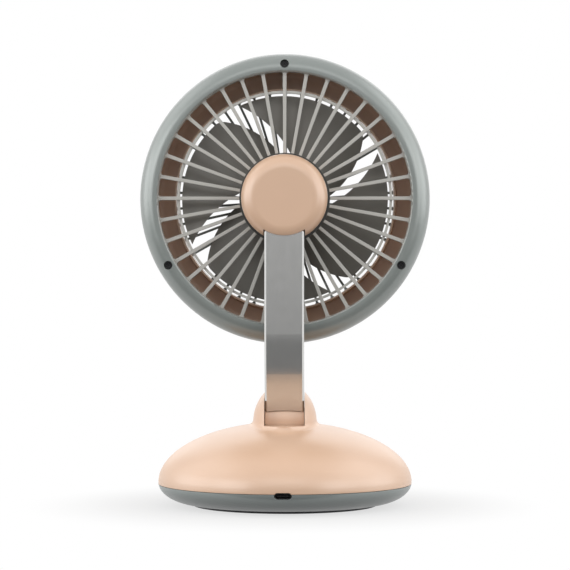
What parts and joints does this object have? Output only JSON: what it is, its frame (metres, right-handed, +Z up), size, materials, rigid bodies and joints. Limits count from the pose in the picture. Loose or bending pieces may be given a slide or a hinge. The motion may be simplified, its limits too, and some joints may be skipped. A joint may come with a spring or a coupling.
{
  "type": "electric fan",
  "caption": "Rechargeable tabletop fan: a round caged head on a flat curved arm that tilts on a pin between two ears of a domed base with a push button.",
  "frame": {"origin": "centre of the foot pad's underside, on the table", "axes": "+Z up; -Y is the front, where the air leaves; +Y is the back, with the arm and the charging inlet; +X is the fan's left as it faces forward"},
  "size_m": [0.161, 0.141, 0.2508],
  "materials": {
    "peach_plastic": "satin moulded plastic with a fine texture",
    "grey_plastic": "satin moulded plastic with a faint metallic sheen",
    "impeller_plastic": "satin, slightly cloudy",
    "arm_metal": "satin anodised, with bright cut edges",
    "black_plastic": "matt",
    "white_plastic": "satin",
    "board": "lacquered",
    "cell_wrap": null,
    "foot_rubber": "matt",
    "lead_rubber": "matt",
    "screw_steel": "zinc plated",
    "black_steel": "black oxide",
    "plated_steel": "nickel plated",
    "core_steel": "stacked sheet",
    "copper_wire": "lacquered winding",
    "brass_tube": "turned"
  },
  "bodies": {
    "base": {"base_upper_shell": "peach_plastic", "base_lower_shell": "grey_plastic", "foot_pad": "foot_rubber", "base_screws": "screw_steel", "battery_tray": "black_plastic", "battery_cells": "cell_wrap", "battery_contacts": "plated_steel", "main_board": "board", "board_components": "black_plastic", "board_screws": "screw_steel", "usb_socket": "black_steel", "usb_tongue": "black_plastic", "switch_board": "board", "switch_board_screws": "screw_steel", "tact_switch": "black_plastic", "status_led": "white_plastic", "light_pipe": "white_plastic", "hinge_pin": "plated_steel", "hinge_plug": "peach_plastic", "hinge_washers": "white_plastic"},
    "button": {"power_button": "grey_plastic", "switch_plunger": "white_plastic"},
    "arm": {"hinge_barrel": "peach_plastic", "barrel_screws": "screw_steel", "arm_shell": "arm_metal", "arm_cover": "grey_plastic", "motor_lead": "lead_rubber", "rear_grille": "grey_plastic", "hub_cap": "peach_plastic", "hub_screws": "screw_steel", "motor_board": "board", "bearing_tube": "brass_tube", "motor_bearings": "plated_steel", "stator_core": "core_steel", "stator_coils": "copper_wire", "front_housing": "peach_plastic", "front_grille": "grey_plastic", "front_cap": "peach_plastic", "head_screws": "black_steel"},
    "rotor": {"motor_shaft": "plated_steel", "shaft_clip": "screw_steel", "rotor_cup": "plated_steel", "magnet_ring": "core_steel", "fan_impeller": "impeller_plastic"}
  },
  "joints": [
    {"name": "arm_tilt", "type": "hinge", "parent": "base", "child": "arm", "pos_m": [0, 0.0018, 0.046], "axis": [1, 0, 0], "range_deg": [-25, 45]},
    {"name": "fan_spin", "type": "hinge", "parent": "arm", "child": "rotor", "pos_m": [0, 0, 0.1703], "axis": [0, 1, 0], "continuous": true},
    {"name": "power_press", "type": "slide", "parent": "base", "child": "button", "axis": [0, 0, -1], "range_m": [0, 0.0006], "stiffness_N_per_m": 2500, "springref_m": -0.0003}
  ]
}
